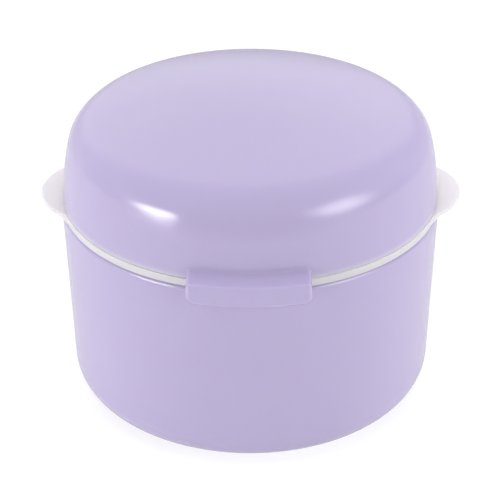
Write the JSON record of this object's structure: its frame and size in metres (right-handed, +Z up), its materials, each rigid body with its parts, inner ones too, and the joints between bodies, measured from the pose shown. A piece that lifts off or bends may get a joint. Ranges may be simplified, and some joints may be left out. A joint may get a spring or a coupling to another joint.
{
  "type": "denture case",
  "caption": "Round denture bath case: a cup with a hinged domed lid, a front snap tab and a lift-out strainer basket with side ears.",
  "frame": {"origin": "centre of the foot's flat face, on the case's axis", "axes": "+Z up along the case's axis, -Y towards the snap tab at the front, +Y towards the hinge, +X and -X towards the basket's ears"},
  "size_m": [0.0944, 0.0932, 0.0711],
  "materials": {
    "lilac_plastic": "glossy moulded, lilac",
    "white_plastic": "satin moulded, white",
    "pin_steel": "drawn wire"
  },
  "bodies": {
    "cup": {"outer_cup": "lilac_plastic", "strainer_basket": "white_plastic", "hinge_pin": "pin_steel"},
    "lid": {"lid": "lilac_plastic"},
    "latch": {"latch_tab": "lilac_plastic"}
  },
  "joints": [
    {"name": "lid_hinge", "type": "hinge", "parent": "cup", "child": "lid", "pos_m": [0, 0.0447, 0.0442], "axis": [-1, 0, 0], "range_deg": [0, 110]},
    {"name": "latch_flex", "type": "hinge", "parent": "lid", "child": "latch", "pos_m": [0, -0.04215, 0.0495], "axis": [-1, 0, 0], "range_deg": [0, 8], "stiffness_Nm_per_rad": 0.25}
  ]
}
